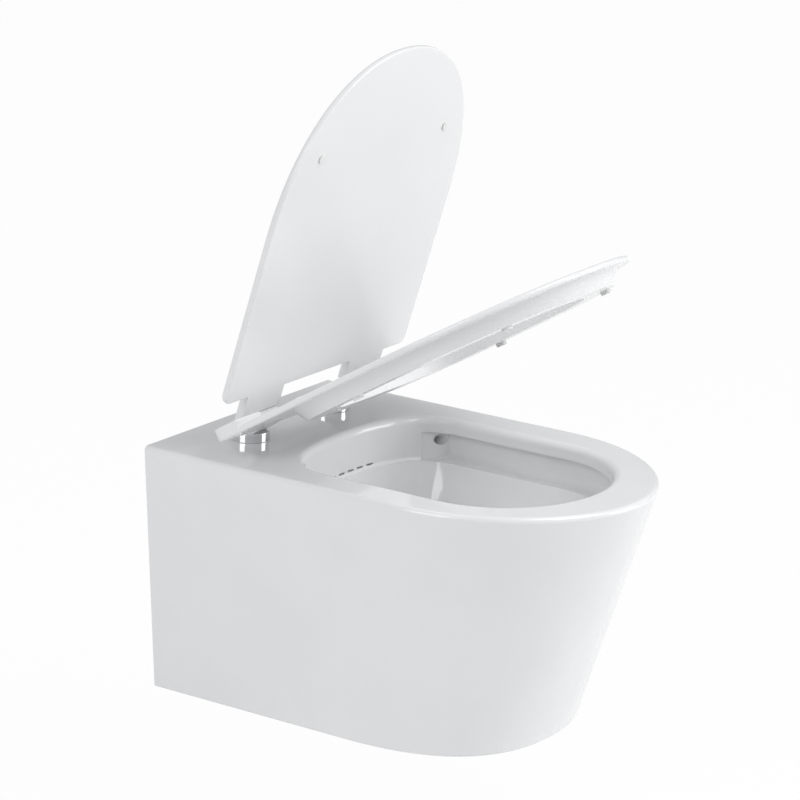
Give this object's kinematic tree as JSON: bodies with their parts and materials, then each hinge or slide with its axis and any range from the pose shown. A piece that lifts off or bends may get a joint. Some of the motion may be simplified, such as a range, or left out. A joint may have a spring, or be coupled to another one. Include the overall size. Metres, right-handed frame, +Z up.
{
  "type": "wall hung toilet",
  "caption": "Wall hung toilet pan with a rimless bowl, trap and water sockets, and a slim seat and lid on soft-close hinges.",
  "frame": {"origin": "on the wall, midway between the two wall stud holes", "axes": "+Z up, +X to the right seen from the front, -Y out of the wall to the front of the pan"},
  "size_m": [0.352, 0.5181, 0.7258],
  "materials": {
    "pan": "white glaze, glossy",
    "seat_ring": "white, glossy moulded",
    "seat_bumpers": "soft white rubber",
    "lid": "white, glossy moulded",
    "lid_bumpers": "soft white rubber",
    "base_gaskets": "grey rubber sheet",
    "expansion_plugs": "black rubber",
    "plug_nuts": "plain brass",
    "hinge_base_left": "polished chrome",
    "hinge_base_right": "polished chrome",
    "pivot_post_left": "turned stainless steel",
    "pivot_post_right": "turned stainless steel",
    "hinge_block_left": "white, glossy moulded",
    "hinge_block_right": "white, glossy moulded",
    "seat_damper_body": "dark grey moulded",
    "seat_damper_shaft": "turned stainless steel",
    "lid_hinge_pin": "turned stainless steel",
    "seat_hinge_sleeve": "natural bearing plastic",
    "lid_damper_body": "dark grey moulded",
    "lid_damper_shaft": "turned stainless steel",
    "inlet_seal": "black rubber",
    "outlet_seal": "black rubber",
    "fixing_sleeves": "white moulded",
    "fixing_washers": "zinc plated steel",
    "fixing_nuts": "zinc plated steel"
  },
  "bodies": {
    "pan": {"pan": "pan", "base_gaskets": "base_gaskets", "expansion_plugs": "expansion_plugs", "plug_nuts": "plug_nuts", "hinge_base_left": "hinge_base_left", "hinge_base_right": "hinge_base_right", "pivot_post_left": "pivot_post_left", "pivot_post_right": "pivot_post_right", "hinge_block_left": "hinge_block_left", "hinge_block_right": "hinge_block_right", "seat_damper_shaft": "seat_damper_shaft", "seat_hinge_sleeve": "seat_hinge_sleeve", "lid_damper_shaft": "lid_damper_shaft", "inlet_seal": "inlet_seal", "outlet_seal": "outlet_seal", "fixing_sleeves": "fixing_sleeves", "fixing_washers": "fixing_washers", "fixing_nuts": "fixing_nuts"},
    "seat": {"seat_ring": "seat_ring", "seat_bumpers": "seat_bumpers", "seat_damper_body": "seat_damper_body"},
    "lid": {"lid": "lid", "lid_bumpers": "lid_bumpers", "lid_damper_body": "lid_damper_body", "lid_hinge_pin": "lid_hinge_pin"}
  },
  "joints": [
    {"name": "seat_hinge", "type": "hinge", "parent": "pan", "child": "seat", "pos_m": [0, -0.093, 0.1045], "axis": [-1, 0, 0], "range_deg": [-31.3, 26.1]},
    {"name": "lid_hinge", "type": "hinge", "parent": "seat", "child": "lid", "pos_m": [0, -0.093, 0.1045], "axis": [-1, 0, 0], "range_deg": [-42.6, 26.1]}
  ]
}
